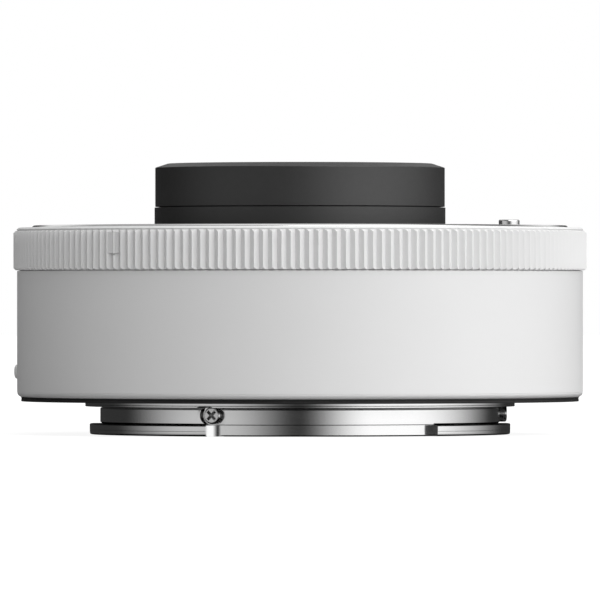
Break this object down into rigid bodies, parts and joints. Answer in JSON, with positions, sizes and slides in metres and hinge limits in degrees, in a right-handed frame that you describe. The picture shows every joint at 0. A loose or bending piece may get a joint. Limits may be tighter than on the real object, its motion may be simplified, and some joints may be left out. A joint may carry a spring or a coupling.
{
  "type": "camera teleconverter",
  "caption": "Short round teleconverter: white ribbed barrel, chrome bayonet at each end, black hood in front, lock pin with side release, sprung contacts and glass inside.",
  "frame": {"origin": "on the optical axis, level with the rear ends of the bayonet tabs, which is the middle of the box's bottom", "axes": "+Z along the optical axis towards the front, where the lens goes on; -Y is the side that the picture shows"},
  "size_m": [0.0624, 0.0624, 0.0294],
  "materials": {
    "mount_chrome": "satin chrome on brass, fine turned lines",
    "screw_steel": "bright plated",
    "shim_brass": "bare",
    "seal_rubber": "matte",
    "trim_black": "satin black",
    "baffle_black": "flat black",
    "contact_plastic": "satin black moulding",
    "contact_gold": "gold plated",
    "body_white": "satin warm white paint",
    "grip_white": "satin warm white paint over cut ribs",
    "rim_white": "satin warm white paint",
    "dot_white": "gloss",
    "spring_steel": "spring steel",
    "frame_black": "black anodised",
    "lever_white": "satin warm white paint",
    "pin_chrome": "polished",
    "board_green": "solder mask",
    "chip_black": "moulded",
    "flex_amber": "polyimide film",
    "cell_black": "black anodised",
    "hood_black": "satin black",
    "retainer_black": "black anodised",
    "mask_black": "flat black",
    "lens_glass": "coated optical glass"
  },
  "bodies": {
    "converter": {"rear_mount": "mount_chrome", "neck_screws": "screw_steel", "rear_mount_screws": "screw_steel", "rear_shim": "shim_brass", "rear_seal": "seal_rubber", "rear_trim_ring": "trim_black", "rear_baffle": "baffle_black", "rear_contact_block": "contact_plastic", "rear_contact_pads": "contact_gold", "main_barrel": "body_white", "grip_ring": "grip_white", "front_rim": "rim_white", "index_dot": "dot_white", "front_mount": "mount_chrome", "front_mount_screws": "screw_steel", "front_leaf_spring": "spring_steel", "front_gasket": "seal_rubber", "front_light_shield": "baffle_black", "front_frame": "frame_black", "rear_frame": "frame_black", "lock_pin_spring": "spring_steel", "release_spring": "spring_steel", "front_contact_block": "contact_plastic", "contact_spring": "contact_gold", "contact_block_screws": "screw_steel", "circuit_board": "board_green", "board_chips": "chip_black", "board_screws": "screw_steel", "front_flex": "flex_amber", "rear_flex": "flex_amber", "frame_screws": "screw_steel", "front_cell": "cell_black", "cell_screws": "screw_steel", "front_hood": "hood_black", "rear_cell": "cell_black", "front_retainer": "retainer_black", "middle_retainer": "retainer_black", "front_spacer": "retainer_black", "middle_spacer": "retainer_black", "rear_spacer": "retainer_black", "rear_mask": "mask_black", "lens_1": "lens_glass", "lens_2": "lens_glass", "lens_3": "lens_glass", "lens_4": "lens_glass", "lens_5": "lens_glass", "lens_6": "lens_glass", "lens_7": "lens_glass", "lens_8": "lens_glass"},
    "release_slide": {"release_slide": "spring_steel", "release_lever": "lever_white"},
    "lock_pin": {"lock_pin": "pin_chrome", "lock_cross_pin": "screw_steel"},
    "contact_pins": {"contact_pins": "contact_gold"}
  },
  "joints": [
    {"name": "release_turn", "type": "hinge", "parent": "converter", "child": "release_slide", "pos_m": [0, 0, 0.0187], "axis": [0, 0, 1], "range_deg": [0, 6], "stiffness_Nm_per_rad": 0.03, "springref_deg": -5.73, "deforming": ["release_spring"]},
    {"name": "lock_pin_drop", "type": "slide", "parent": "converter", "child": "lock_pin", "axis": [0, 0, -1], "range_m": [0, 0.00075], "stiffness_N_per_m": 2, "springref_m": -0.001, "deforming": ["lock_pin_spring"]},
    {"name": "contact_pins_press", "type": "slide", "parent": "converter", "child": "contact_pins", "axis": [0, 0, -1], "range_m": [0, 0.00035], "stiffness_N_per_m": 60, "springref_m": -0.0005, "deforming": ["contact_spring"]}
  ],
  "couplings": [
    {"joint": "release_turn", "follows": "lock_pin_drop", "rad_per_m": 139.63}
  ]
}
